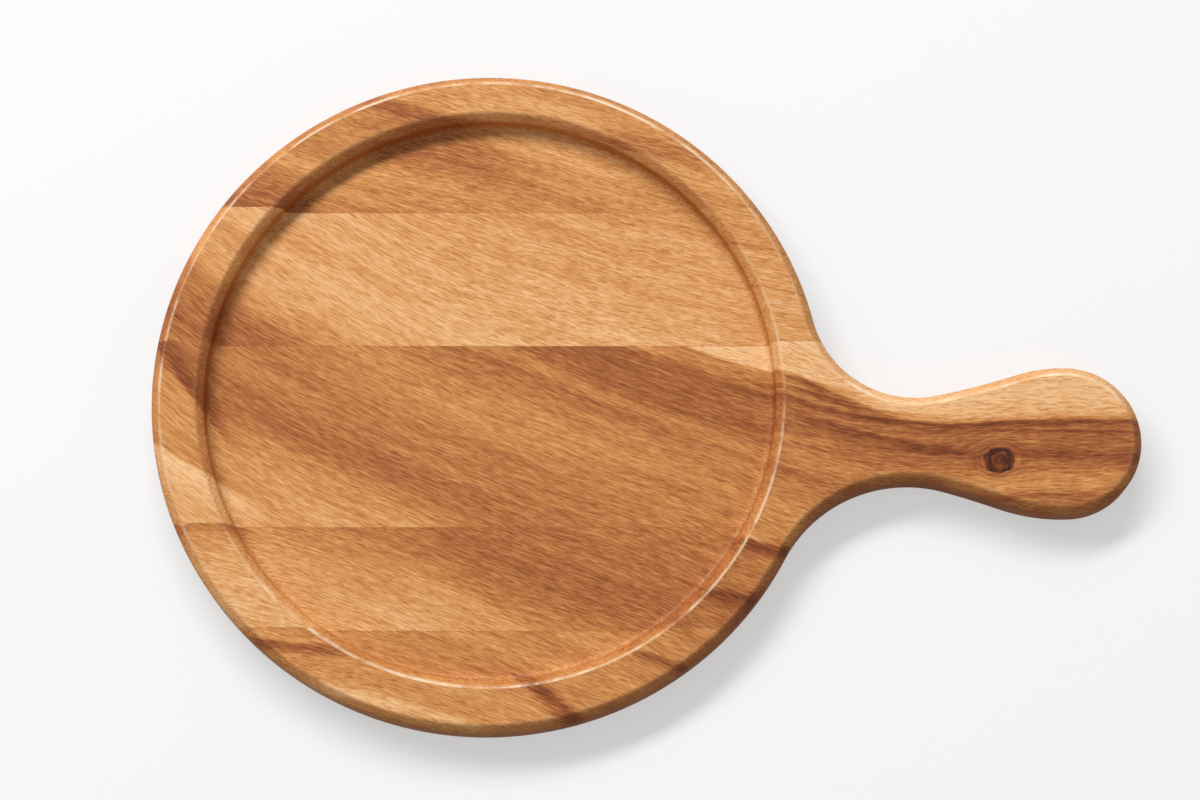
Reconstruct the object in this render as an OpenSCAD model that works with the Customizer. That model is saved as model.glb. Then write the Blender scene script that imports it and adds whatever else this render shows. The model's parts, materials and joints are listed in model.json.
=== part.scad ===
// Round serving board with a handle, glued up from five staves and recessed on top.
// The frame stands on the middle of the round part: X runs along the handle, Y across
// the staves toward the far rim, and Z up from the face that the board rests on.

/* [Board] */
// Diameter of the round part
disc_d = 232; // [224:1:250]
// Thickness of the board
board_t = 15; // [13:0.5:20]
// Radius of the rounded edge, top and bottom
edge_r = 3; // [1.5:0.5:4]

/* [Recess] */
// Diameter of the round recess, measured over its rounded lip
recess_d = 203.2; // [170:0.1:208]
// Depth of the recess below the top face
recess_depth = 8; // [6.5:0.5:9]
// Radius of the rounded lip where the top face turns down into the recess
lip_r = 3; // [1:0.5:3]
// Radius of the cove between the recess wall and its floor
cove_r = 3; // [1:0.5:3]
// Middle of the recess, toward the handle from the middle of the round part
recess_x = 0.7; // [0:0.1:1]
// Middle of the recess, toward the far rim from the middle of the round part
recess_y = 1; // [0:0.1:1.5]

/* [Handle] */
// Middle of the round part to the middle of the handle's round end
grip_x = 199.2; // [185:0.1:215]
// How far the handle's round end lies to the near side of the middle
grip_drop = 14.8; // [12:0.1:17]
// Diameter of the handle's round end
grip_d = 51.6; // [49:0.2:56]
// Radius of the swelling on the far side of the grip
far_swell_r = 51; // [40:1:60]
// Radius of the swelling on the near side of the grip
near_swell_r = 66; // [55:1:75]
// Radius of the long hollows along both sides of the neck
waist_r = 290; // [220:5:350]
// Radius of the fillet between the neck and the far side of the round part
far_fillet_r = 36; // [30:1:42]
// Radius of the fillet between the neck and the near side of the round part
near_fillet_r = 48; // [42:1:54]

/* [Turns of the handle's outline, in degrees from the handle's axis] */
// Where the round end runs into the swelling on each side
end_turn = 88; // [84:1:90]
// Where the far swelling runs into the far hollow
far_swell_turn = 107.5; // [105:0.5:109]
// Where the near swelling runs into the near hollow
near_swell_turn = 109.5; // [107:0.5:111]

/* [Staves] */
// How far the handle stave runs past the far side of the grip
far_grip_margin = 9; // [5:0.5:15]
// How far the handle stave runs past the near side of the grip
near_grip_margin = 3.4; // [2:0.2:8]
// Width of the upper stave
upper_stave_w = 48; // [35:1:55]
// Width of the lower stave
lower_stave_w = 36; // [25:1:42]

/* [Hidden] */
$fn = 128;

disc_r = disc_d / 2;
grip_r = grip_d / 2;
lip_outer_r = recess_d / 2;
wall_r = lip_outer_r - lip_r;
floor_z = board_t - recess_depth;

// Glue lines, from the far rim to the near rim
upper_seam_y = grip_r - grip_drop + far_grip_margin;
far_seam_y = upper_seam_y + upper_stave_w;
lower_seam_y = -grip_drop - grip_r - near_grip_margin;
near_seam_y = lower_seam_y - lower_stave_w;

// Overrun of every cut past the face that it leaves
over = 2;
// Width of the band that carries the rounded edge
band_w = 10;
// The flat core's own outline runs along the middle of that band
core_inset = band_w / 2;
// Points along each arc of the core's outline
core_steps = 8;
// Every second band lies this far inside the outline and laps this far under its neighbours
joint_step = 0.1;
joint_lap = 0.5;

function toward(angle) = [cos(angle), sin(angle)];

// Middle of the swelling, whose arc leaves the round end at end_turn.
function swell_centre(end_c, swell_r) = end_c + (grip_r - swell_r) * toward(end_turn);

// Middle of the neck's hollow, outside the board, which meets the swelling at swell_turn.
function waist_centre(swell_c, swell_r, swell_turn) = swell_c + (swell_r + waist_r) * toward(swell_turn);

// Turn at which the hollow gives way to the fillet that also touches the round part.
function fillet_turn(waist_c, fillet_r) =
    let (step = waist_r - fillet_r)
    let (reach = disc_r + fillet_r)
    let (span = norm(waist_c))
    atan2(waist_c.y, waist_c.x) + acos((span * span + step * step - reach * reach) / (2 * step * span));

function fillet_centre(waist_c, fillet_r, turn) = waist_c - (waist_r - fillet_r) * toward(turn);

// One side of the handle: each row holds an arc's middle, radius, first and last turn, and
// whether the board lies outside the arc's circle. The near side is its own mirror image.
function side_arcs(end_y, swell_r, fillet_r, swell_turn) =
    let (swell_c = swell_centre([grip_x, end_y], swell_r))
    let (waist_c = waist_centre(swell_c, swell_r, swell_turn))
    let (turn = fillet_turn(waist_c, fillet_r))
    let (fillet_c = fillet_centre(waist_c, fillet_r, turn))
    [
        [[grip_x, end_y], grip_r, 0, end_turn, false],
        [swell_c, swell_r, end_turn, swell_turn, false],
        [waist_c, waist_r, swell_turn, turn, true],
        [fillet_c, fillet_r, turn, atan2(fillet_c.y, fillet_c.x), true]
    ];

far_arcs = side_arcs(-grip_drop, far_swell_r, far_fillet_r, far_swell_turn);
near_arcs = side_arcs(grip_drop, near_swell_r, near_fillet_r, near_swell_turn);

// Turns at which the round part's rim gives way to the two fillets
far_root_turn = far_arcs[3][3];
near_root_turn = near_arcs[3][3];

function arc_point(arc, share) =
    let (turn = arc[2] + (arc[3] - arc[2]) * share)
    arc[4] ? arc[0] - (arc[1] + core_inset) * toward(turn) : arc[0] + (arc[1] - core_inset) * toward(turn);

// Points of the core's outline, none of them where two arcs meet
function core_side(arcs) = [for (arc = arcs) for (i = [1:core_steps]) arc_point(arc, (i - 0.5) / core_steps)];

function mirrored(points) = [for (i = [len(points) - 1:-1:0]) [points[i].x, -points[i].y]];

// Section through the band on the outside of an arc, rounded on the side away from its middle.
module outer_section(radius) {
    difference() {
        translate([radius - band_w, 0]) square([band_w, board_t]);
        difference() {
            translate([radius - edge_r, -over]) square([edge_r + over, edge_r + over]);
            translate([radius - edge_r, edge_r]) circle(r = edge_r);
        }
        difference() {
            translate([radius - edge_r, board_t - edge_r]) square([edge_r + over, edge_r + over]);
            translate([radius - edge_r, board_t - edge_r]) circle(r = edge_r);
        }
    }
}

// Section through the band round a hollow, rounded on the side toward the arc's middle.
module inner_section(radius) {
    difference() {
        translate([radius, 0]) square([band_w, board_t]);
        difference() {
            translate([radius - over, -over]) square([edge_r + over, edge_r + over]);
            translate([radius + edge_r, edge_r]) circle(r = edge_r);
        }
        difference() {
            translate([radius - over, board_t - edge_r]) square([edge_r + over, edge_r + over]);
            translate([radius + edge_r, board_t - edge_r]) circle(r = edge_r);
        }
    }
}

// The band along one arc, drawn a step inside the outline and run on by a lap at both ends.
module band(arc, step, lap) {
    turn = lap * 180 / (PI * arc[1]);
    translate(arc[0]) {
        if (arc[4]) {
            rotate([0, 0, arc[3] + 180 - turn]) {
                rotate_extrude(angle = arc[2] - arc[3] + 2 * turn) inner_section(arc[1] + step);
            }
        } else {
            rotate([0, 0, arc[2] - turn]) {
                rotate_extrude(angle = arc[3] - arc[2] + 2 * turn) outer_section(arc[1] - step);
            }
        }
    }
}

// The bands along one side of the handle, from its round end to the round part.
module side_bands(arcs) {
    band(arcs[1], joint_step, joint_lap);
    band(arcs[2], 0, 0);
    band(arcs[3], joint_step, joint_lap);
}

// The whole board before its recess is cut and before it is parted into staves.
module blank() {
    rotate([0, 0, far_root_turn]) {
        rotate_extrude(angle = 360 - far_root_turn - near_root_turn) outer_section(disc_r);
    }
    translate([grip_x, -grip_drop, 0]) rotate([0, 0, -end_turn]) {
        rotate_extrude(angle = 2 * end_turn) outer_section(grip_r);
    }
    side_bands(far_arcs);
    mirror([0, 1, 0]) side_bands(near_arcs);
    linear_extrude(height = board_t) {
        circle(r = disc_r - band_w + over);
        polygon(concat([[-disc_r / 2, 0]], mirrored(core_side(near_arcs)), core_side(far_arcs)));
    }
}

// Half section of the recess: flat floor, cove, wall and rounded lip.
module recess_section() {
    difference() {
        translate([0, floor_z]) square([wall_r, recess_depth + over]);
        difference() {
            translate([wall_r - cove_r, floor_z - over]) square([cove_r + over, cove_r + over]);
            translate([wall_r - cove_r, floor_z + cove_r]) circle(r = cove_r);
        }
    }
    difference() {
        translate([wall_r - over, board_t - lip_r]) square([lip_r + over, lip_r + over]);
        translate([lip_outer_r, board_t - lip_r]) circle(r = lip_r);
    }
}

module recess() {
    translate([recess_x, recess_y, 0]) rotate_extrude() recess_section();
}

// The strip of the board between two lines across its width.
module stave(near_y, far_y) {
    difference() {
        intersection() {
            blank();
            translate([-disc_r - over, near_y, -over]) {
                cube([disc_r + grip_x + grip_r + 2 * over, far_y - near_y, board_t + 2 * over]);
            }
        }
        recess();
    }
}

module far_rim_stave() {
    color("#b98355") stave(far_seam_y, disc_r + over);
}

module upper_stave() {
    color("#c99055") stave(upper_seam_y, far_seam_y);
}

module handle_stave() {
    color("#a9683b") stave(lower_seam_y, upper_seam_y);
}

module lower_stave() {
    color("#c58a50") stave(near_seam_y, lower_seam_y);
}

module near_rim_stave() {
    color("#cf9450") stave(-disc_r - over, near_seam_y);
}

far_rim_stave();
upper_stave();
handle_stave();
lower_stave();
near_rim_stave();
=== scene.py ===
"""The looks of a round wooden serving board with a handle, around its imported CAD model.

The board is one glued panel, so its whole skin is made first and then cut into its staves
along the glue lines of the frame. Every length is in metres unless its name ends in mm.
"""

import json
import math
from collections import namedtuple

import bmesh
import bpy
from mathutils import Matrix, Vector


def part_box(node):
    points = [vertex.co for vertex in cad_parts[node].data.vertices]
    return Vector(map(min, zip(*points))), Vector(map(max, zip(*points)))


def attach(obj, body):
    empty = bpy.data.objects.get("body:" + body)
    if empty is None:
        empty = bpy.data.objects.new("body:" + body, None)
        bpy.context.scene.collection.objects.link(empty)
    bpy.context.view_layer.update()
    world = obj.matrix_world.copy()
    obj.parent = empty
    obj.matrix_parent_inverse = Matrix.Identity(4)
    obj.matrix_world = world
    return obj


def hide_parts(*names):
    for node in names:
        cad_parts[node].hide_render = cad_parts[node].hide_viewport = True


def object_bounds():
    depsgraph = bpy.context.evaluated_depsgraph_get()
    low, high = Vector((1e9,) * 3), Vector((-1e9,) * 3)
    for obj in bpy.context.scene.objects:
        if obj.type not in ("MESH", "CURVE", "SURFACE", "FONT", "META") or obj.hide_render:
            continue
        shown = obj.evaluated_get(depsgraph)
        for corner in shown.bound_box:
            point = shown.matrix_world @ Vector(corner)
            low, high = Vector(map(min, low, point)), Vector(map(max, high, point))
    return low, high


bl_info = {
    "name": "Serving board",
    "version": (1, 0, 0),
    "blender": (4, 5, 0),
    "location": "3D View > Sidebar > Serving board",
    "description": "Makes the staves, the wood and the stage of a round serving board",
    "category": "Add Mesh",
}

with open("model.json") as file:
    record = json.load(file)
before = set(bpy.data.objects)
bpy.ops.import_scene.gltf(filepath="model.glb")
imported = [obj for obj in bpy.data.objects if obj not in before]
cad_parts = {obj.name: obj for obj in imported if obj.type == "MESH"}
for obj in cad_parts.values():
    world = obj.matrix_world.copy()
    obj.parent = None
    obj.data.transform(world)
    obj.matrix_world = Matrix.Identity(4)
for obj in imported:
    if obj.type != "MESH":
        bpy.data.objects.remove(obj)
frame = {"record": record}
bpy.context.view_layer.update()
CAD_BOX = [list(corner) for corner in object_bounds()]
MM = 0.001

MOUNTS = {mount["name"]: mount for mount in frame["record"]["mounts"]}
RECESS_MIDDLE = Vector(MOUNTS["recess_floor"]["pos_m"])
BOARD_LOW, BOARD_HIGH = (Vector(corner) for corner in CAD_BOX)
BOARD_THICKNESS = BOARD_HIGH.z
DISC_RADIUS = -BOARD_LOW.x


# Sizes and colours that a user would change

class BoardSizes(bpy.types.PropertyGroup):
    grip_radius: bpy.props.FloatProperty(
        name="Grip radius", description="Radius of the handle's round end",
        default=25.8 * MM, min=0.02, max=0.03, unit="LENGTH")
    grip_drop: bpy.props.FloatProperty(
        name="Grip drop", description="How far the handle's round end lies to the near side",
        default=14.8 * MM, min=0.0, max=0.02, unit="LENGTH")
    far_swell: bpy.props.FloatProperty(
        name="Far swelling", description="Radius of the swelling on the far side of the grip",
        default=51 * MM, min=0.04, max=0.06, unit="LENGTH")
    near_swell: bpy.props.FloatProperty(
        name="Near swelling", description="Radius of the swelling on the near side of the grip",
        default=66 * MM, min=0.055, max=0.075, unit="LENGTH")
    waist: bpy.props.FloatProperty(
        name="Neck hollows", description="Radius of the long hollows along both sides of the neck",
        default=290 * MM, min=0.22, max=0.35, unit="LENGTH")
    far_fillet: bpy.props.FloatProperty(
        name="Far fillet", description="Radius between the neck and the far side of the disc",
        default=36 * MM, min=0.03, max=0.042, unit="LENGTH")
    near_fillet: bpy.props.FloatProperty(
        name="Near fillet", description="Radius between the neck and the near side of the disc",
        default=48 * MM, min=0.042, max=0.054, unit="LENGTH")
    end_turn: bpy.props.FloatProperty(
        name="End turn", description="Where the round end runs into the swelling on each side",
        default=math.radians(88), subtype="ANGLE")
    far_swell_turn: bpy.props.FloatProperty(
        name="Far swelling's turn", description="Where the far swelling runs into the far hollow",
        default=math.radians(107.5), subtype="ANGLE")
    near_swell_turn: bpy.props.FloatProperty(
        name="Near swelling's turn", description="Where the near swelling runs into the near hollow",
        default=math.radians(109.5), subtype="ANGLE")
    recess_wall: bpy.props.FloatProperty(
        name="Recess wall", description="Radius of the recess at its upright wall",
        default=98.6 * MM, min=0.08, max=0.1, unit="LENGTH")
    edge_width: bpy.props.FloatProperty(
        name="Edge width", description="How far every rounded edge reaches in over the top",
        default=3 * MM, min=0.001, max=0.004, unit="LENGTH")
    edge_depth: bpy.props.FloatProperty(
        name="Edge depth", description="How far every rounded edge reaches down the side",
        default=3.2 * MM, min=0.001, max=0.005, unit="LENGTH")
    arris_slope: bpy.props.FloatProperty(
        name="Arris slope", description="Fall of the rounded edge where it leaves the flat top",
        default=0.8, min=0.0, max=1.0)
    point_spacing: bpy.props.FloatProperty(
        name="Point spacing", description="Distance between points along the outline",
        default=1.2 * MM, min=0.0005, max=0.005, unit="LENGTH")


class WoodColours(bpy.types.PropertyGroup):
    sapwood: bpy.props.StringProperty(
        name="Sapwood", description="Palest wood, as an sRGB hex value", default="#FAC993")
    golden: bpy.props.StringProperty(
        name="Golden wood", description="Common golden wood, as an sRGB hex value", default="#DC9A59")
    heartwood: bpy.props.StringProperty(
        name="Heartwood", description="Reddish heartwood, as an sRGB hex value", default="#A96539")
    streak: bpy.props.StringProperty(
        name="Streaks", description="Dark streaks, as an sRGB hex value", default="#844828")
    knot: bpy.props.StringProperty(
        name="Knot", description="Darkest lines and the knot, as an sRGB hex value", default="#46241A")
    # The oiled sides' tint is partly real oil and partly painted shade on the upright sides.
    oiled_and_shaded: bpy.props.StringProperty(
        name="Oiled and shaded sides", description="Tint of the sides' oil, as an sRGB hex value", default="#B2611C")
    pore: bpy.props.StringProperty(
        name="Pores", description="Oiled pores, as an sRGB hex value", default="#9A4A18")
    # The worn arris colour is partly real wear and partly a painted highlight along the edges.
    worn_and_highlight: bpy.props.StringProperty(
        name="Worn arris and highlight", description="Wood rubbed pale at the edges, as an sRGB hex value",
        default="#FFE6C4")


class StageSettings(bpy.types.PropertyGroup):
    key_watts: bpy.props.FloatProperty(
        name="Key light", description="Power of the softbox above the far side", default=104.0, min=0.0)
    sky: bpy.props.FloatProperty(
        name="Sky", description="Strength of the even light from all round", default=0.3, min=0.0)
    floor: bpy.props.StringProperty(
        name="Floor", description="Colour of the floor, as an sRGB hex value", default="#FAFAFA")
    view_tilt: bpy.props.FloatProperty(
        name="View tilt", description="How far the camera leans to the near side of straight down",
        default=math.radians(12.5), subtype="ANGLE")
    view_distance: bpy.props.FloatProperty(
        name="View distance", description="Distance from the camera to the board",
        default=1.2, min=0.3, unit="LENGTH")


# Nodes and colours

def to_linear(hex_colour):
    """An sRGB hex value as the linear colour that shaders read."""
    channels = [int(hex_colour[i:i + 2], 16) / 255 for i in (1, 3, 5)]
    linear = [c / 12.92 if c <= 0.04045 else ((c + 0.055) / 1.055) ** 2.4 for c in channels]
    return (*linear, 1.0)


def add(tree, kind, inputs=(), out=0, **settings):
    """Adds a node with its settings, fills its inputs with values or links, and gives one output."""
    node = tree.nodes.new(kind)
    for name, value in settings.items():
        setattr(node, name, value)
    pairs = inputs.items() if isinstance(inputs, dict) else enumerate(inputs)
    for key, value in pairs:
        if isinstance(value, bpy.types.NodeSocket):
            tree.links.new(value, node.inputs[key])
        elif value is not None:
            node.inputs[key].default_value = value
    return node.outputs[out] if len(node.outputs) else node


MATH = "ShaderNodeMath"
VECTOR = "ShaderNodeVectorMath"
XYZ = "ShaderNodeCombineXYZ"
PARTS = "ShaderNodeSeparateXYZ"
RANGE = "ShaderNodeMapRange"
MIX = "ShaderNodeMix"
NOISE = "ShaderNodeTexNoise"


# The outline, as one closed run of tangent arcs

Arc = namedtuple("Arc", "middle radius first last hollow")


def toward(turn):
    return Vector((math.cos(turn), math.sin(turn)))


def handle_side(sizes, end_y, swell, fillet, swell_turn):
    """The four arcs from the handle's tip to the disc. The near side is its own mirror image."""
    end_middle = Vector((BOARD_HIGH.x - sizes.grip_radius, end_y))
    swell_middle = end_middle + (sizes.grip_radius - swell) * toward(sizes.end_turn)
    waist_middle = swell_middle + (swell + sizes.waist) * toward(swell_turn)
    step = sizes.waist - fillet
    reach = DISC_RADIUS + fillet
    span = waist_middle.length
    lean = math.acos((span * span + step * step - reach * reach) / (2 * step * span))
    fillet_turn = math.atan2(waist_middle.y, waist_middle.x) + lean
    fillet_middle = waist_middle - step * toward(fillet_turn)
    root = math.atan2(fillet_middle.y, fillet_middle.x)
    return [
        Arc(end_middle, sizes.grip_radius, 0.0, sizes.end_turn, False),
        Arc(swell_middle, swell, sizes.end_turn, swell_turn, False),
        Arc(waist_middle, sizes.waist, swell_turn, fillet_turn, True),
        Arc(fillet_middle, fillet, fillet_turn, root, True),
    ]


def arc_points(arc, spacing):
    """Evenly spaced points along an arc, without its last one, where the next arc starts."""
    count = max(4, round(abs(arc.last - arc.first) * arc.radius / spacing))
    side = -1 if arc.hollow else 1
    turns = [arc.first + (arc.last - arc.first) * i / count for i in range(count)]
    return [arc.middle + side * arc.radius * toward(turn) for turn in turns]


def outline_points(sizes):
    """The board's outline, once round against the clock."""
    far = handle_side(sizes, -sizes.grip_drop, sizes.far_swell, sizes.far_fillet, sizes.far_swell_turn)
    near = handle_side(sizes, sizes.grip_drop, sizes.near_swell, sizes.near_fillet, sizes.near_swell_turn)
    disc = Arc(Vector((0, 0)), DISC_RADIUS, far[-1].last, 2 * math.pi - near[-1].last, False)
    points = [p for arc in [*far, disc] for p in arc_points(arc, sizes.point_spacing)]
    backward = [p for arc in near for p in arc_points(arc, sizes.point_spacing)]
    root = DISC_RADIUS * toward(near[-1].last)
    backward = [*backward[1:], root]
    return points + [Vector((p.x, -p.y)) for p in reversed(backward)]


def circle_points(middle, radius, spacing):
    count = 2 * round(math.pi * radius / spacing)
    return [middle.xy + radius * toward(2 * math.pi * i / count) for i in range(count)]


def path_object(name, points):
    """A closed path through the points, on the plane of the underside."""
    curve = bpy.data.curves.new(name, "CURVE")
    curve.dimensions = "3D"
    spline = curve.splines.new("POLY")
    spline.points.add(len(points) - 1)
    for point, place in zip(spline.points, points):
        point.co = (place.x, place.y, 0, 1)
    spline.use_cyclic_u = True
    path = bpy.data.objects.new(name, curve)
    bpy.context.scene.collection.objects.link(path)
    return path


# The moulded edge, a rule that Geometry Nodes sweep along a path

# Points on one corner, and over how many of them the wear and painted highlight of its arris fade
CORNER_STEPS = 9
WEAR_AND_HIGHLIGHT_POINTS = 2.0
# The strip of flat face beside a corner, as a share of the corner's width
RUN_SHARE = 0.2
# How far the arrises are rubbed pale and given a painted highlight: at the top, round the recess and at the
# underside
TOP_WEAR_AND_HIGHLIGHT = 1.0
LIP_WEAR_AND_HIGHLIGHT = 0.95
UNDERSIDE_WEAR_AND_HIGHLIGHT = 0.3
EDGE_INPUTS = (
    "Bottom", "Top", "Low width", "Low depth", "Low slope", "Low run", "Low wear and highlight",
    "High width", "High depth", "High slope", "High run", "High wear and highlight",
)


def moulded_edge_tree():
    """A profile of two corners and the wall between them, swept round a path.

    A corner's width is positive on the outside of the path. Its slope is how steeply it leaves the
    flat face beside it, and its run is a narrow strip of that face, which keeps the shading crisp.
    Its wear is how far its arris is rubbed pale and given a painted highlight, which the wood reads as an
    attribute.
    """
    tree = bpy.data.node_groups.new("Moulded edge", "GeometryNodeTree")
    tree.is_modifier = True
    tree.interface.new_socket("Geometry", in_out="OUTPUT", socket_type="NodeSocketGeometry")
    tree.interface.new_socket("Path", in_out="INPUT", socket_type="NodeSocketGeometry")
    for name in EDGE_INPUTS:
        tree.interface.new_socket(name, in_out="INPUT", socket_type="NodeSocketFloat")
    tree.interface.new_socket("Wood", in_out="INPUT", socket_type="NodeSocketMaterial")
    size = tree.nodes.new("NodeGroupInput").outputs

    # The points are numbered from the low run, over the low corner and the high one, to the high run.
    index = add(tree, "GeometryNodeInputIndex")
    last = 2 * CORNER_STEPS + 1
    past_low = add(tree, RANGE, {"Value": index, "From Min": CORNER_STEPS, "From Max": CORNER_STEPS + 1})
    at_start = add(tree, RANGE, {"Value": index, "From Min": 1, "From Max": 0})
    at_end = add(tree, RANGE, {"Value": index, "From Min": last - 1, "From Max": last})

    # A corner is a curve with one handle, straight below or above the wall's end.
    def corner(label, face, upward, first, final):
        share = add(tree, RANGE, {"Value": index, "From Min": first, "From Max": final})
        reach = add(tree, MATH, (size[label + " width"],), operation="ABSOLUTE")
        drop = add(tree, MATH, (reach, size[label + " slope"]), operation="MULTIPLY")
        handle = add(tree, MATH, (drop, upward, size[face]), operation="MULTIPLY_ADD")
        wall = add(tree, MATH, (size[label + " depth"], upward, size[face]), operation="MULTIPLY_ADD")
        at_face = add(tree, XYZ, (size[label + " width"], size[face], 0))
        at_handle = add(tree, XYZ, (0, handle, 0))
        at_wall = add(tree, XYZ, (0, wall, 0))
        leaving = add(tree, MIX, {0: share, 4: at_face, 5: at_handle}, out=1, data_type="VECTOR")
        arriving = add(tree, MIX, {0: share, 4: at_handle, 5: at_wall}, out=1, data_type="VECTOR")
        return add(tree, MIX, {0: share, 4: leaving, 5: arriving}, out=1, data_type="VECTOR")

    low_corner = corner("Low", "Bottom", 1, 1, CORNER_STEPS)
    high_corner = corner("High", "Top", -1, last - 1, CORNER_STEPS + 1)
    corners = add(tree, MIX, {0: past_low, 4: low_corner, 5: high_corner}, out=1, data_type="VECTOR")
    low_run = add(tree, MATH, (size["Low run"], at_start), operation="MULTIPLY")
    run = add(tree, MATH, (size["High run"], at_end, low_run), operation="MULTIPLY_ADD")
    section = add(tree, VECTOR, (corners, add(tree, XYZ, (run, 0, 0))))

    # On an upright path, a profile's own Y points down.
    section = add(tree, VECTOR, (section, (1, -1, 1)), operation="MULTIPLY")
    line = add(tree, "GeometryNodeMeshLine", {"Count": last + 1}, mode="OFFSET")
    placed = add(tree, "GeometryNodeSetPosition", {"Geometry": line, "Position": section})

    # The wear, partly real rubbing and partly a painted highlight, is full on the arris itself and fades
    # over the next points of the corner.
    low_near = add(tree, RANGE, {"Value": index, "From Min": 1 + WEAR_AND_HIGHLIGHT_POINTS, "From Max": 1})
    low_part = add(tree, MATH, (low_near, at_start), operation="SUBTRACT")
    high_near = add(tree, RANGE, {"Value": index, "From Min": last - 1 - WEAR_AND_HIGHLIGHT_POINTS, "From Max": last - 1})
    high_part = add(tree, MATH, (high_near, at_end), operation="SUBTRACT")
    low_wear_and_highlight = add(tree, MATH, (low_part, size["Low wear and highlight"]), operation="MULTIPLY")
    wear = add(tree, MATH, (high_part, size["High wear and highlight"], low_wear_and_highlight), operation="MULTIPLY_ADD")
    marked = add(tree, "GeometryNodeStoreNamedAttribute",
                 {"Geometry": placed, "Name": "arris", "Value": wear}, data_type="FLOAT", domain="POINT")
    profile = add(tree, "GeometryNodeMeshToCurve", {"Mesh": marked})
    upright = add(tree, "GeometryNodeSetCurveNormal", {"Curve": size["Path"]}, mode="Z_UP")
    swept = add(tree, "GeometryNodeCurveToMesh", {"Curve": upright, "Profile Curve": profile})
    real = add(tree, "GeometryNodeRealizeInstances", {"Geometry": swept})
    made = add(tree, "GeometryNodeSetMaterial", {"Geometry": real, "Material": size["Wood"]})
    add(tree, "NodeGroupOutput", (made,))
    return tree


def swept_edge(name, points, tree, values):
    """The moulded edge along a closed path, as a plain mesh."""
    path = path_object(name, points)
    modifier = path.modifiers.new("Moulded edge", "NODES")
    modifier.node_group = tree
    for socket in tree.interface.items_tree:
        if socket.in_out == "INPUT" and socket.name in values:
            modifier[socket.identifier] = values[socket.name]
    evaluated = path.evaluated_get(bpy.context.evaluated_depsgraph_get())
    mesh = bpy.data.meshes.new_from_object(evaluated)
    curve = path.data
    bpy.data.objects.remove(path)
    bpy.data.curves.remove(curve)
    return mesh


def open_loops(bm, height):
    """The open edges of the skin that lie at a height."""
    near = 1e-6
    return [e for e in bm.edges if e.is_boundary and all(abs(v.co.z - height) < near for v in e.verts)]


def board_skin(sizes):
    """The closed skin of the whole board, before it is cut into staves."""
    tree = moulded_edge_tree()
    width, depth, slope = sizes.edge_width, sizes.edge_depth, sizes.arris_slope
    run = RUN_SHARE * width
    floor_z = RECESS_MIDDLE.z
    rim = swept_edge("rim_path", outline_points(sizes), tree, {
        "Bottom": 0.0, "Top": BOARD_THICKNESS,
        "Low width": -width, "Low depth": depth, "Low slope": slope, "Low run": -run,
        "High width": -width, "High depth": depth, "High slope": slope, "High run": -run,
        "Low wear and highlight": UNDERSIDE_WEAR_AND_HIGHLIGHT, "High wear and highlight": TOP_WEAR_AND_HIGHLIGHT})
    wall_points = circle_points(RECESS_MIDDLE, sizes.recess_wall, sizes.point_spacing)
    recess = swept_edge("recess_path", wall_points, tree, {
        "Bottom": floor_z, "Top": BOARD_THICKNESS,
        "Low width": -width, "Low depth": width, "Low slope": 0.0, "Low run": -run,
        "High width": width, "High depth": depth, "High slope": slope, "High run": run,
        "Low wear and highlight": 0.0, "High wear and highlight": LIP_WEAR_AND_HIGHLIGHT})
    bm = bmesh.new()
    for mesh in (rim, recess):
        bm.from_mesh(mesh)
        bpy.data.meshes.remove(mesh)
    bmesh.ops.triangle_fill(bm, use_beauty=True, edges=open_loops(bm, BOARD_THICKNESS))
    for height in (0.0, floor_z):
        bmesh.ops.contextual_create(bm, geom=open_loops(bm, height))
    bmesh.ops.recalc_face_normals(bm, faces=bm.faces)
    open_edges = sum(not e.is_manifold for e in bm.edges)
    if open_edges:
        raise RuntimeError(f"the board's skin has {open_edges} open edges")
    return bm


def seams(node):
    """The places in Y where a stave meets its neighbours, each with the side that it is on."""
    low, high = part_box(node)
    edge_of_board = 0.5 * MM
    found = []
    if high.y < BOARD_HIGH.y - edge_of_board:
        found.append((high.y, 1))
    if low.y > BOARD_LOW.y + edge_of_board:
        found.append((low.y, -1))
    return found


def cut_side(bm, seam, side):
    """Cuts the skin on a plane across Y, keeps one side and closes it with a flat glue face."""
    touching = 1e-7
    geometry = [*bm.verts, *bm.edges, *bm.faces]
    cut = bmesh.ops.bisect_plane(bm, geom=geometry, dist=touching, plane_co=(0, seam, 0),
                                 plane_no=(0, side, 0), clear_outer=True)
    edges = [e for e in cut["geom_cut"] if isinstance(e, bmesh.types.BMEdge)]
    bmesh.ops.holes_fill(bm, edges=edges, sides=0)
    for edge in edges:
        if edge.is_valid:
            edge.smooth = False


def make_stave(node, skin, wood):
    """One stave, cut from a copy of the board's skin between its own two glue lines."""
    bm = skin.copy()
    for face in bm.faces:
        face.smooth = True
    for seam, side in seams(node):
        cut_side(bm, seam, side)
    open_edges = sum(not e.is_manifold for e in bm.edges)
    if open_edges:
        raise RuntimeError(f"{node} has {open_edges} open edges")
    name = node.replace("_stave", "_board")
    mesh = bpy.data.meshes.new(name)
    bm.to_mesh(mesh)
    bm.free()
    mesh.materials.clear()
    mesh.materials.append(wood)
    stave = bpy.data.objects.new(name, mesh)
    bpy.context.scene.collection.objects.link(stave)
    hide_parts(node)
    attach(stave, "root")
    return stave


# Acacia

# The grain runs along X, shifted sideways as it goes: the run gives, at some X, how far the grain
# has sunk toward -Y. A place across the grain is Y plus that shift, and everything below uses it.
# The tones are the wood's darkness at such places, from 0, sapwood, to 1, the darkest streak, and
# the bands' value is how much that varies from one broad band to the next.
# All of it is in millimetres, and turns are in degrees.
Figure = namedtuple("Figure", "seed bands run tones streaks")

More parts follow.
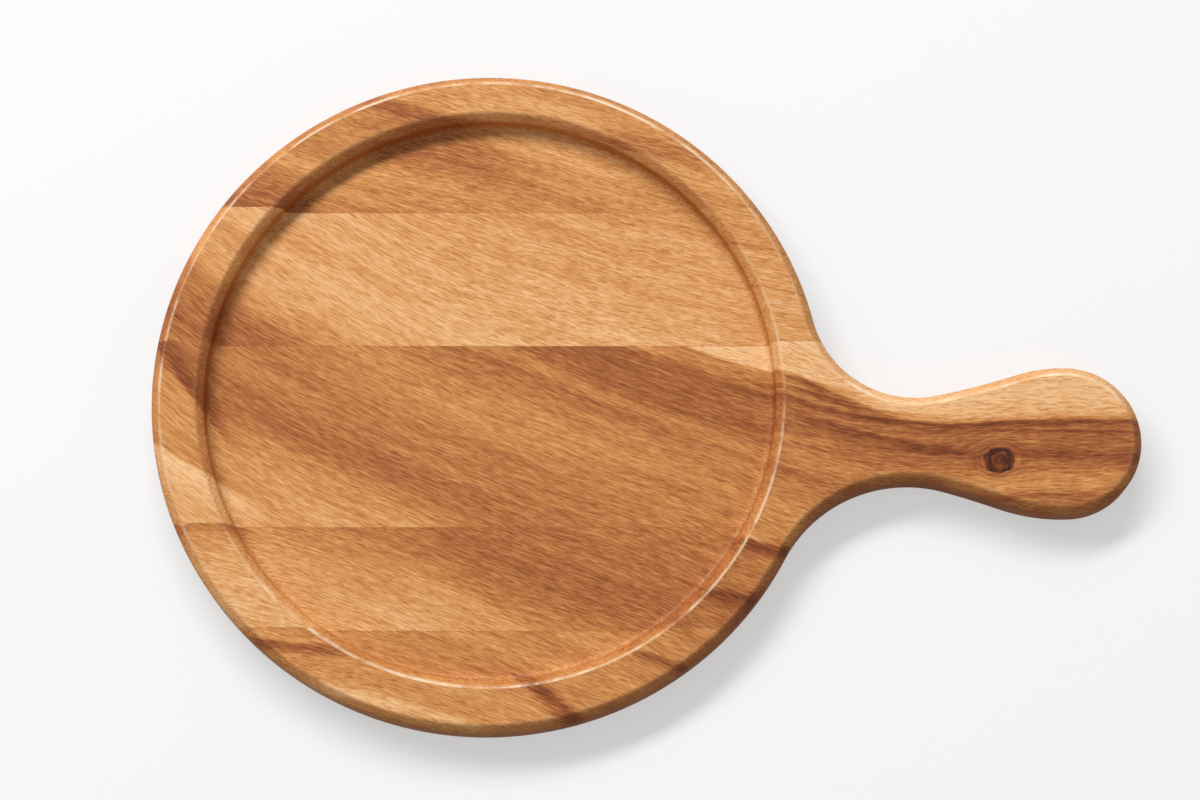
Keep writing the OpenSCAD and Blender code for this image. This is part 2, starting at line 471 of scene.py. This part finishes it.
# A streak starts at a side, whose middle and turn it gives, and fades away over its fade, toward +Y
# where that is positive. Its edge is the share of the fade over which it sets in. A positive depth
# darkens the wood and a negative one pales it.
Streak = namedtuple("Streak", "x across turn half_length fade edge depth")

FIGURES = {
    "far_rim_stave": Figure(
        3.1, 0.60, ((-116, -40), (-60, -18), (0, 0), (116, 34)),
        ((-20, 0.40), (50, 0.42), (90, 0.38), (115, 0.35)), (
            Streak(-19.6, 97.2, -6, 32, -26, 0.04, 0.15),
            Streak(12, 97, 2, 34, 16, 0.30, -0.12),
            Streak(-78.7, 41.8, 12, 26, 15, 0.06, 0.25),
            Streak(60, 101.5, -3, 26, 13, 0.10, 0.16),
            Streak(64, 107.0, -2, 22, 1.6, 0.40, 0.16),
        )),
    "upper_stave": Figure(
        17.3, 0.54, ((-116, -66), (-90, -47), (-60, -29), (0, 0), (116, 30)),
        ((-42, 0.55), (-24, 0.59), (-14, 0.53), (-4, 0.34), (6, 0.24), (90, 0.29), (120, 0.30)), (
            Streak(-103, -34, 14, 20, 12, 0.30, 0.10),
            Streak(96, 78, 1, 24, 1.8, 0.40, 0.14),
            Streak(100, 64, -1, 26, 1.4, 0.40, 0.12),
        )),
    "handle_stave": Figure(
        29.7, 0.42,
        ((-116, -112), (-90, -93), (-50, -71), (0, -50), (60, -26), (104, -10.4), (114.7, -7),
         (128.5, -3.7), (144.8, -0.8), (161, 0), (177.5, -1), (193.6, -1.7), (225, -2.4)),
        ((-158, 0.30), (-118, 0.31), (-101, 0.37), (-93, 0.53), (-80, 0.49), (-60, 0.43),
         (-40, 0.45), (-35, 0.54), (-32, 0.42), (-28, 0.48), (-25, 0.57), (-12, 0.60),
         (-9.2, 0.36), (-7, 0.20), (0, 0.08), (30, 0.08)), (
            Streak(-107, -98.5, -30, 26, 13, 0.20, 0.26),
            Streak(-105, -124.7, 7, 34, -28, 0.04, -0.22),
            Streak(-105, -124.7, 7, 30, 9, 0.06, 0.12),
            Streak(92, -1.0, 0, 50, -12, 0.12, 0.38),
            Streak(122, -3.6, -12, 24, -8, 0.20, 0.28),
            Streak(120, -6.7, 0, 44, -1.7, 0.50, 0.20),
            Streak(160, -11.4, 6, 26, -1.5, 0.50, 0.12),
            Streak(165, -9.3, 0, 92, -3.6, 0.20, 0.24),
            Streak(108, -5.6, 1, 26, -2.2, 0.30, 0.16),
            Streak(196, -12.8, -1, 56, -2.4, 0.35, 0.17),
            Streak(138, -15.2, -4, 40, -7.0, 0.25, 0.20),
            Streak(160, -19.0, -8, 22, -4.0, 0.30, 0.08),
            Streak(170.2, -20.4, 0, 7, -5.2, 0.40, 0.08),
            Streak(207, -19.8, -3, 36, -5.5, 0.30, 0.17),
            Streak(104, -22.4, 8, 24, -3.6, 0.30, -0.14),
            Streak(188, -34.0, 1, 22, -2.4, 0.40, 0.14),
        )),
    "lower_stave": Figure(
        41.9, 0.54, ((-116, -40), (-60, -22), (0, 0), (116, 45)),
        ((-120, 0.16), (-96, 0.18), (-84, 0.24), (-70, 0.37), (-54, 0.53), (-40, 0.54),
         (-20, 0.43), (0, 0.32)), (
            Streak(-99, -78.5, 18, 24, -10, 0.04, 0.26),
            Streak(98, -11.5, 12, 20, -9.0, 0.30, 0.46),
            Streak(86, -32.5, 12, 18, -9.0, 0.35, 0.26),
        )),
    "near_rim_stave": Figure(
        57.2, 0.48, ((-90, -26), (-45, -14), (0, 0), (45, 18), (90, 40)),
        ((-150, 0.30), (-110, 0.34), (-90, 0.38), (-60, 0.43)), (
            Streak(-66, -104.0, 7, 26, -6.5, 0.35, 0.34),
            Streak(-35, -114.5, 2, 44, -8.5, 0.30, -0.20),
            Streak(29.5, -94.2, -27, 22, -12.0, 0.35, 0.36),
            Streak(60, -64.0, 8, 15, -6.0, 0.35, 0.26),
        )),
}

# Lowest and highest value that the runs' places and shifts, and the tones' places, may have
RUN_X = (-125, 235)
RUN_SHIFT = (-120, 60)
TONE_ACROSS = (-160, 130)

# The one knot, on the handle: its middle in X and across the grain, its radius, how much narrower
# it looks along X, where its dark rim lies, how far out its rings show, and how far, in radians,
# their spiral turns for each millimetre out
Knot = namedtuple("Knot", "node x across radius squash rim reach spiral")
KNOT = Knot("handle_stave", 175.7, -23.0, 4.3, 0.85, 3.7, 10.0, 4.0)
RING_DEPTH = 0.06

# How far the grain wanders over a hand's breadth, and how far it ripples over a finger's, in
# millimetres
WANDER = 3.5
WANDER_LENGTH = 60
RIPPLE = 0.45
RIPPLE_LENGTH = 9

# How far the grain's layers lean over for each millimetre down, and how far a streak's ends fray
LAYER_LEAN = 0.4
FRAY = 7.0

# Length and width of the grain's parts in millimetres, and their detail. Real pores are 0.2 mm wide:
# they and the fibres are drawn at nearly twice that, so that they show.
GRAINS = {
    "bands": (130, 9, 2),
    "lines": (28, 1.0, 2),
    "fibres": (3.6, 0.36, 1),
    "pores": (2.5, 0.38, 0),
}

# How much the tone varies with the lines and the fibres, and the darkest that it gets outside the knot
LINE_DEPTH = 0.36
FIBRE_DEPTH = 0.80
DARKEST_LINE = 0.88

# An upright side's extra tone and share of oil: partly oil that the side soaks up, partly painted shade
SIDE_TONE = 0.16
SIDE_OIL_AND_SHADE = 0.38

# How far the oil stains the pores and the glue its seam, and how far from the seam the glue's
# hairline starts to fade and ends, in millimetres
PORE_STAIN = 0.32
GLUE_STAIN = 0.35
GLUE_FADE = (0.06, 0.16)


def fill_curve(curve, points, x_range, y_range):
    """Lays a float curve through the points, each coordinate as a share of its range."""
    line = curve.mapping.curves[0]
    while len(line.points) < len(points):
        line.points.new(0.5, 0.5)
    for knot, (x, y) in zip(line.points, points):
        knot.location = ((x - x_range[0]) / (x_range[1] - x_range[0]),
                         (y - y_range[0]) / (y_range[1] - y_range[0]))
    curve.mapping.update()


def curved(tree, value, points, x_range, y_range):
    """The value read through a curve laid through the points."""
    share = add(tree, RANGE, {"Value": value, "From Min": x_range[0], "From Max": x_range[1]})
    looked_up = add(tree, "ShaderNodeFloatCurve", {"Value": share})
    fill_curve(looked_up.node, points, x_range, y_range)
    return add(tree, RANGE, {"Value": looked_up, "To Min": y_range[0], "To Max": y_range[1]}, clamp=False)


def streak_group():
    """How much one streak darkens the wood, as a node group. It is fullest over its middle."""
    tree = bpy.data.node_groups.new("Streak", "ShaderNodeTree")
    tree.interface.new_socket("Darkening", in_out="OUTPUT", socket_type="NodeSocketFloat")
    tree.interface.new_socket("Place", in_out="INPUT", socket_type="NodeSocketVector")
    tree.interface.new_socket("Middle", in_out="INPUT", socket_type="NodeSocketVector")
    for name in ("Turn", "Half length", "Fade", "Edge", "Depth"):
        tree.interface.new_socket(name, in_out="INPUT", socket_type="NodeSocketFloat")
    streak = tree.nodes.new("NodeGroupInput").outputs
    offset = add(tree, VECTOR, (streak["Place"], streak["Middle"]), operation="SUBTRACT")
    turned = add(tree, "ShaderNodeVectorRotate", {"Vector": offset, "Angle": streak["Turn"]},
                 rotation_type="Z_AXIS", invert=True)
    along, across = (add(tree, PARTS, (turned,), out=axis) for axis in "XY")
    lengths = add(tree, MATH, (along, streak["Half length"]), operation="DIVIDE")
    end_share = add(tree, MATH, (lengths,), operation="ABSOLUTE")
    ends = add(tree, RANGE, {"Value": end_share, "From Min": 1.0, "From Max": 0.4},
               interpolation_type="SMOOTHSTEP")
    fade_share = add(tree, MATH, (across, streak["Fade"]), operation="DIVIDE")
    sets_in = add(tree, RANGE, {"Value": fade_share, "From Min": 0.0, "From Max": streak["Edge"]},
                  interpolation_type="SMOOTHSTEP")
    fades = add(tree, RANGE, {"Value": fade_share, "From Min": 1.0, "From Max": streak["Edge"]},
                interpolation_type="SMOOTHSTEP")
    sides = add(tree, MATH, (sets_in, fades), operation="MULTIPLY")
    mask = add(tree, MATH, (sides, ends), operation="MULTIPLY")
    deep = add(tree, MATH, (mask, streak["Depth"]), operation="MULTIPLY")
    add(tree, "NodeGroupOutput", (deep,))
    return tree


def part_round_knot(tree, mm, x, straight, across):
    """Parts the grain round the knot, as a stream parts round a post.

    Gives the new place across the grain, and the knot's own offset, uneven distance and burl.
    """
    flat = add(tree, XYZ, (x, straight, 0))
    offset = add(tree, VECTOR, (flat, (KNOT.x, KNOT.across, 0)), operation="SUBTRACT")
    offset = add(tree, VECTOR, (offset, (KNOT.squash, 1, 0)), operation="MULTIPLY")
    distance = add(tree, VECTOR, (offset,), out="Value", operation="LENGTH")
    outside = add(tree, MATH, (distance, KNOT.radius), operation="MAXIMUM")
    ratio = add(tree, MATH, (KNOT.radius, outside), operation="DIVIDE")
    pushed = add(tree, MATH, (ratio, 2), operation="POWER")
    beside = add(tree, PARTS, (offset,), out="Y")
    shift = add(tree, MATH, (beside, pushed), operation="MULTIPLY")
    parted = add(tree, MATH, (across, shift), operation="SUBTRACT")
    burl_length = 2.6
    burl = add(tree, NOISE, {"Vector": mm, "Scale": 1 / burl_length, "Detail": 2.0}, out="Fac")
    bulge = add(tree, RANGE, {"Value": burl, "To Min": -1.3, "To Max": 1.3})
    return parted, (offset, add(tree, MATH, (distance, bulge)), burl)


def lay_knot(tree, tone, offset, distance, burl):
    """The tone with the knot laid over it: a fine spiral, a dark rim, and a twisted heart."""
    ahead, beside = (add(tree, PARTS, (offset,), out=axis) for axis in "XY")
    turn = add(tree, MATH, (beside, ahead), operation="ARCTAN2")
    phase = add(tree, MATH, (distance, KNOT.spiral, turn), operation="MULTIPLY_ADD")
    rings = add(tree, MATH, (phase,), operation="SINE")
    ring_depth = add(tree, RANGE, {"Value": distance, "From Min": KNOT.reach, "From Max": KNOT.radius - 0.8,
                                   "To Max": RING_DEPTH})
    ringed = add(tree, MATH, (rings, ring_depth, tone), operation="MULTIPLY_ADD")

    # The rim is a dark ring, and the pith a thin line whose radius wavers with the burl.
    past_rim = add(tree, MATH, (distance, KNOT.rim), operation="SUBTRACT")
    rim_gap = add(tree, MATH, (past_rim,), operation="ABSOLUTE")
    rim = add(tree, RANGE, {"Value": rim_gap, "From Min": 0.9, "From Max": 0.2, "To Max": 0.18})
    pith_radius = add(tree, RANGE, {"Value": burl, "To Min": -0.6, "To Max": 2.4})
    past_pith = add(tree, MATH, (distance, pith_radius), operation="SUBTRACT")
    pith_gap = add(tree, MATH, (past_pith,), operation="ABSOLUTE")
    pith = add(tree, RANGE, {"Value": pith_gap, "From Min": 0.45, "From Max": 0.1, "To Max": 0.25})
    dark = add(tree, RANGE, {"Value": burl, "To Min": 0.68, "To Max": 1.18})
    heart = add(tree, MATH, (rings, RING_DEPTH, dark), operation="MULTIPLY_ADD")
    heart = add(tree, MATH, (add(tree, MATH, (rim, pith)), heart))
    inside = add(tree, RANGE, {"Value": distance, "From Min": KNOT.radius + 0.6,
                               "From Max": KNOT.radius - 0.1}, interpolation_type="SMOOTHSTEP")
    return add(tree, MIX, {0: inside, 2: ringed, 3: heart}, data_type="FLOAT")


def wandering_grain(tree, figure, mm, x, y):
    """The place across the grain, first without and then with its wander, and the grain's ripple."""
    wander = add(tree, NOISE, {"Vector": mm, "W": figure.seed, "Scale": 1 / WANDER_LENGTH, "Detail": 1.0},
                 out="Fac", noise_dimensions="4D")
    ripple = add(tree, NOISE, {"Vector": mm, "W": figure.seed, "Scale": 1 / RIPPLE_LENGTH, "Detail": 2.0},
                 out="Fac", noise_dimensions="4D")
    drift = add(tree, RANGE, {"Value": wander, "To Min": -WANDER, "To Max": WANDER})
    shiver = add(tree, RANGE, {"Value": ripple, "To Min": -RIPPLE, "To Max": RIPPLE})
    straight = add(tree, MATH, (y, curved(tree, x, figure.run, RUN_X, RUN_SHIFT)))
    across = add(tree, MATH, (straight, add(tree, MATH, (drift, shiver))))
    return straight, across, ripple


def grain_parts(tree, seed, x, across, z):
    """The grain's bands, lines, fibres and pores, each as noise drawn out along the grain."""
    layer = add(tree, MATH, (z, LAYER_LEAN, across), operation="MULTIPLY_ADD")
    along_grain = add(tree, XYZ, (x, layer, z))
    grain = {}
    for number, (name, (length, width, detail)) in enumerate(GRAINS.items()):
        cells = add(tree, VECTOR, (along_grain, (1 / length, 1 / width, 1 / width)), operation="MULTIPLY")
        grain[name] = add(tree, NOISE, {"Vector": cells, "W": seed + number, "Scale": 1.0,
                                        "Detail": detail, "Roughness": 0.6},
                          out="Fac", noise_dimensions="4D")
    return grain


def stave_tone(tree, figure, grain, x, across, streak_tree):
    """How dark a stave is, from its own run of tones, its grain and its streaks."""
    tone = curved(tree, across, figure.tones, TONE_ACROSS, (0, 1))
    for name, depth in (("bands", figure.bands), ("lines", LINE_DEPTH), ("fibres", FIBRE_DEPTH)):
        uneven = add(tree, RANGE, {"Value": grain[name], "To Min": -depth / 2, "To Max": depth / 2})
        tone = add(tree, MATH, (tone, uneven))
    frayed = add(tree, RANGE, {"Value": grain["lines"], "To Min": -FRAY, "To Max": FRAY})
    place = add(tree, XYZ, (add(tree, MATH, (x, frayed)), across, 0))
    for streak in figure.streaks:
        darkening = add(tree, "ShaderNodeGroup", {
            "Place": place, "Middle": (streak.x, streak.across, 0), "Turn": math.radians(streak.turn),
            "Half length": streak.half_length, "Fade": streak.fade, "Edge": streak.edge,
            "Depth": streak.depth}, node_tree=streak_tree)
        tone = add(tree, MATH, (tone, darkening))
    return tone


def rubbed_arris_and_highlight(tree, normal, blotches):
    """How far the arris is rubbed pale and given a painted highlight: in patches, and most where it faces
    the softbox, far and left.

    The painted highlight's line is finer and fainter where it faces left.
    """
    # The painted highlight is strongest where the arris faces the softbox, far and left.
    light_facing = add(tree, VECTOR, (normal, (-0.5, 0.87, 0.0)), out="Value", operation="DOT_PRODUCT")
    lit_share = add(tree, RANGE, {"Value": light_facing, "From Min": -0.12, "From Max": 0.22, "To Min": 0.06})
    patchy = add(tree, RANGE, {"Value": blotches, "From Min": 0.64, "From Max": 0.84, "To Min": 0.08})
    sideways = add(tree, PARTS, (normal,), out="X")
    finer = add(tree, RANGE, {"Value": sideways, "From Min": -0.05, "From Max": -0.3})
    fainter = add(tree, MATH, (finer, -0.3, 1.0), operation="MULTIPLY_ADD")
    worn_and_highlight = add(tree, "ShaderNodeAttribute", out="Fac", attribute_name="arris")
    sharpness = add(tree, MATH, (finer, 1.0))
    rubbed_and_highlight = add(tree, MATH, (worn_and_highlight, sharpness), operation="POWER")
    for share in (patchy, lit_share, fainter):
        rubbed_and_highlight = add(tree, MATH, (rubbed_and_highlight, share), operation="MULTIPLY")
    return rubbed_and_highlight


def glue_line(tree, y, seam):
    """The hairline of glue at one seam between two staves."""
    beyond = add(tree, MATH, (y, seam / MM), operation="SUBTRACT")
    gap = add(tree, MATH, (beyond,), operation="ABSOLUTE")
    fades, ends = GLUE_FADE
    return add(tree, RANGE, {"Value": gap, "From Min": ends, "From Max": fades, "To Max": GLUE_STAIN})


def wood_shades(tree, tone, colours):
    """The tone as a colour, from the palest sapwood to the darkest line."""
    base = add(tree, "ShaderNodeValToRGB", (tone,), out="Color")
    stops = base.node.color_ramp.elements
    shades = ((0.0, colours.sapwood), (0.3, colours.golden), (0.6, colours.heartwood),
              (0.8, colours.streak), (1.0, colours.knot))
    while len(stops) < len(shades):
        stops.new(0.5)
    for stop, (share, colour) in zip(stops, shades):
        stop.position = share
        stop.color = to_linear(colour)
    return base


def acacia(node, colours, streak_tree):
    """Oiled acacia: golden sapwood, red-brown heartwood streaks, and short dark pores along the grain."""
    figure = FIGURES[node]
    wood = bpy.data.materials.new("Oiled acacia, " + node.replace("_", " "))
    wood.use_nodes = True
    tree = wood.node_tree
    tree.nodes.clear()
    metres = add(tree, "ShaderNodeTexCoord", out="Object")
    mm = add(tree, VECTOR, {0: metres, "Scale": 1 / MM}, operation="SCALE")
    x, y, z = (add(tree, PARTS, (mm,), out=axis) for axis in "XYZ")
    normal = add(tree, "ShaderNodeNewGeometry", out="Normal")
    upward = add(tree, MATH, (add(tree, PARTS, (normal,), out="Z"),), operation="ABSOLUTE")

    has_knot = node == KNOT.node
    straight, across, ripple = wandering_grain(tree, figure, mm, x, y)
    if has_knot:
        across, knot = part_round_knot(tree, mm, x, straight, across)
    grain = grain_parts(tree, figure.seed, x, across, z)
    pores = add(tree, RANGE, {"Value": grain["pores"], "From Min": 0.56, "From Max": 0.70},
                interpolation_type="SMOOTHSTEP")

    # The sides soak up more oil than the top, which leaves them darker; part of that darkening is painted
    # shade.
    tone = stave_tone(tree, figure, grain, x, across, streak_tree)
    tone = add(tree, MATH, (tone, add(tree, RANGE, {"Value": upward, "To Min": SIDE_TONE, "To Max": 0.0})))
    if has_knot:
        tone = lay_knot(tree, add(tree, MATH, (tone, DARKEST_LINE), operation="MINIMUM"), *knot)
    base = wood_shades(tree, tone, colours)

    # The sides' oil tint, partly painted shade.
    oiled_and_shaded = add(tree, RANGE, {"Value": upward, "To Min": SIDE_OIL_AND_SHADE, "To Max": 0.0})
    in_pores = add(tree, MATH, (pores, PORE_STAIN), operation="MULTIPLY")
    blotches = add(tree, MATH, (grain["fibres"], 0.5, ripple), operation="MULTIPLY_ADD")
    rubbed_and_highlight = rubbed_arris_and_highlight(tree, normal, blotches)
    # Stains, wear and painted light: the sides' oil is partly painted shade, and the rubbed arris is partly
    # a painted highlight.
    stains_and_painted_light = [(oiled_and_shaded, colours.oiled_and_shaded), (in_pores, colours.pore), (rubbed_and_highlight, colours.worn_and_highlight)]
    for seam, _ in seams(node):
        stains_and_painted_light.append((glue_line(tree, y, seam), colours.pore))
    for share, colour in stains_and_painted_light:
        base = add(tree, MIX, {0: share, 6: base, 7: to_linear(colour)}, out=2, data_type="RGBA")

    # The fibres stand a little proud, the pores lie under them, and both take the oil unevenly.
    rough = add(tree, RANGE, {"Value": grain["fibres"], "To Min": 0.30, "To Max": 0.46})
    raised = add(tree, MATH, (grain["fibres"], 0.8), operation="MULTIPLY")
    height = add(tree, MATH, (pores, -0.6, raised), operation="MULTIPLY_ADD")
    bump = add(tree, "ShaderNodeBump", {"Strength": 1.0, "Distance": 0.04 * MM, "Height": height})
    surface = add(tree, "ShaderNodeBsdfPrincipled", {
        "Base Color": base, "Roughness": rough, "Normal": bump, "IOR": 1.47, "Specular IOR Level": 0.12,
        "Coat Weight": 0.05, "Coat Roughness": 0.28})
    add(tree, "ShaderNodeOutputMaterial", (surface,))
    return wood


# Stage

def seen_rays(tree):
    """One for a ray that shows the background: to the camera, in a reflection or through glass."""
    rays = tree.nodes.new("ShaderNodeLightPath").outputs
    direct = add(tree, MATH, (rays["Is Camera Ray"], rays["Is Glossy Ray"]), operation="MAXIMUM")
    return add(tree, MATH, (direct, rays["Is Transmission Ray"]), operation="MAXIMUM")


def paper(colour):
    """Matt white studio paper. It looks white to the camera and lights the board like grey paper."""
    floor = bpy.data.materials.new("Matt studio paper")
    floor.use_nodes = True
    tree = floor.node_tree
    tree.nodes.clear()
    pale = add(tree, "ShaderNodeBsdfDiffuse", {"Color": to_linear(colour)})
    grey = add(tree, "ShaderNodeBsdfDiffuse", {"Color": to_linear("#8C8C8C")})
    glow = add(tree, "ShaderNodeEmission", {"Color": to_linear(colour)})
    paper_lit = add(tree, "ShaderNodeMixShader", {0: seen_rays(tree), 1: grey, 2: pale})
    camera_share = add(tree, MATH, (add(tree, "ShaderNodeLightPath", out="Is Camera Ray"), 0.5),
                       operation="MULTIPLY")
    mixed = add(tree, "ShaderNodeMixShader", {0: camera_share, 1: paper_lit, 2: glow})
    add(tree, "ShaderNodeOutputMaterial", (mixed,))
    return floor


def make_floor(colour):
    side = 6.0
    mesh = bpy.data.meshes.new("studio_floor")
    bm = bmesh.new()
    bmesh.ops.create_grid(bm, x_segments=1, y_segments=1, size=side / 2)
    bm.to_mesh(mesh)
    bm.free()
    mesh.materials.append(paper(colour))
    floor = bpy.data.objects.new("studio_floor", mesh)
    bpy.context.scene.collection.objects.link(floor)


def aim(thing, target):
    thing.rotation_euler = (Vector(target) - thing.location).to_track_quat("-Z", "Y").to_euler()


def make_softbox(watts):
    """A large softbox above the far side, a little to the left."""
    lamp = bpy.data.lights.new("softbox", "AREA")
    lamp.shape = "RECTANGLE"
    lamp.size = 3.4
    lamp.size_y = 0.6
    lamp.energy = watts
    box = bpy.data.objects.new("softbox", lamp)
    box.location = (-0.95, 1.95, 2.1)
    aim(box, (0.04, 0, 0))
    bpy.context.scene.collection.objects.link(box)


def make_sky(strength):
    world = bpy.data.worlds.new("sky")
    world.use_nodes = True
    tree = world.node_tree
    tree.nodes.clear()
    lit = add(tree, "ShaderNodeBackground", {"Color": (1, 1, 1, 1), "Strength": strength})
    seen = add(tree, "ShaderNodeBackground", {"Color": (1, 1, 1, 1), "Strength": 1.0})
    mixed = add(tree, "ShaderNodeMixShader", {0: seen_rays(tree), 1: lit, 2: seen})
    add(tree, "ShaderNodeOutputWorld", (mixed,))
    bpy.context.scene.world = world


def make_camera(stage):
    """A camera at the photograph's angle. Its target and its scale were fitted to the board's outline."""
    image_width = 1200
    target = Vector((38.7 * MM, -0.93 * MM, BOARD_THICKNESS))
    metres_per_pixel = 0.3441 * MM
    tilt = stage.view_tilt
    data = bpy.data.cameras.new("camera")
    data.sensor_width = 36.0
    data.lens = data.sensor_width * stage.view_distance / (metres_per_pixel * image_width)
    camera = bpy.data.objects.new("camera", data)
    camera.location = target + stage.view_distance * Vector((0, -math.sin(tilt), math.cos(tilt)))
    camera.rotation_euler = (tilt, 0, 0)
    bpy.context.scene.collection.objects.link(camera)
    bpy.context.scene.camera = camera


# Operators

def make_staves(context, nodes):
    skin = board_skin(context.scene.board_sizes)
    streak_tree = bpy.data.node_groups.get("Streak") or streak_group()
    for node in nodes:
        make_stave(node, skin, acacia(node, context.scene.wood_colours, streak_tree))
    skin.free()


class BOARD_OT_rim_staves(bpy.types.Operator):
    """Make the two outermost staves, on the far and the near side"""

    bl_idname = "board.rim_staves"
    bl_label = "Rim staves"

    def execute(self, context):
        make_staves(context, ("far_rim_stave", "near_rim_stave"))
        return {"FINISHED"}


class BOARD_OT_inner_staves(bpy.types.Operator):
    """Make the two staves on either side of the handle's stave"""

    bl_idname = "board.inner_staves"
    bl_label = "Inner staves"

    def execute(self, context):
        make_staves(context, ("upper_stave", "lower_stave"))
        return {"FINISHED"}


class BOARD_OT_handle_stave(bpy.types.Operator):
    """Make the middle stave, which carries the neck and the grip"""

    bl_idname = "board.handle_stave"
    bl_label = "Handle stave"

    def execute(self, context):
        make_staves(context, ("handle_stave",))
        return {"FINISHED"}


class BOARD_OT_stage(bpy.types.Operator):
    """Make the floor, the lights and the camera"""

    bl_idname = "board.stage"
    bl_label = "Stage"

    def execute(self, context):
        stage = context.scene.board_stage
        make_floor(stage.floor)
        make_softbox(stage.key_watts)
        make_sky(stage.sky)
        make_camera(stage)
        context.scene.view_settings.view_transform = "Standard"
        return {"FINISHED"}


class BOARD_PT_panel(bpy.types.Panel):
    """Sizes, colours and steps of the serving board"""

    bl_idname = "BOARD_PT_panel"
    bl_label = "Serving board"
    bl_space_type = "VIEW_3D"
    bl_region_type = "UI"
    bl_category = "Serving board"

    def draw(self, context):
        layout = self.layout
        for group in (context.scene.board_sizes, context.scene.wood_colours, context.scene.board_stage):
            column = layout.column()
            for name in group.__annotations__:
                column.prop(group, name)
        for operator in OPERATORS:
            layout.operator(operator.bl_idname)


OPERATORS = (BOARD_OT_rim_staves, BOARD_OT_inner_staves, BOARD_OT_handle_stave, BOARD_OT_stage)
CLASSES = (BoardSizes, WoodColours, StageSettings, *OPERATORS, BOARD_PT_panel)


def register():
    for cls in CLASSES:
        bpy.utils.register_class(cls)
    bpy.types.Scene.board_sizes = bpy.props.PointerProperty(type=BoardSizes)
    bpy.types.Scene.wood_colours = bpy.props.PointerProperty(type=WoodColours)
    bpy.types.Scene.board_stage = bpy.props.PointerProperty(type=StageSettings)


def unregister():
    del bpy.types.Scene.board_stage
    del bpy.types.Scene.wood_colours
    del bpy.types.Scene.board_sizes
    for cls in reversed(CLASSES):
        bpy.utils.unregister_class(cls)


def main():
    register()
    bpy.ops.board.rim_staves()
    bpy.ops.board.inner_staves()
    bpy.ops.board.handle_stave()
    bpy.ops.board.stage()
    bpy.context.view_layer.update()


if __name__ == "__main__":
    main()
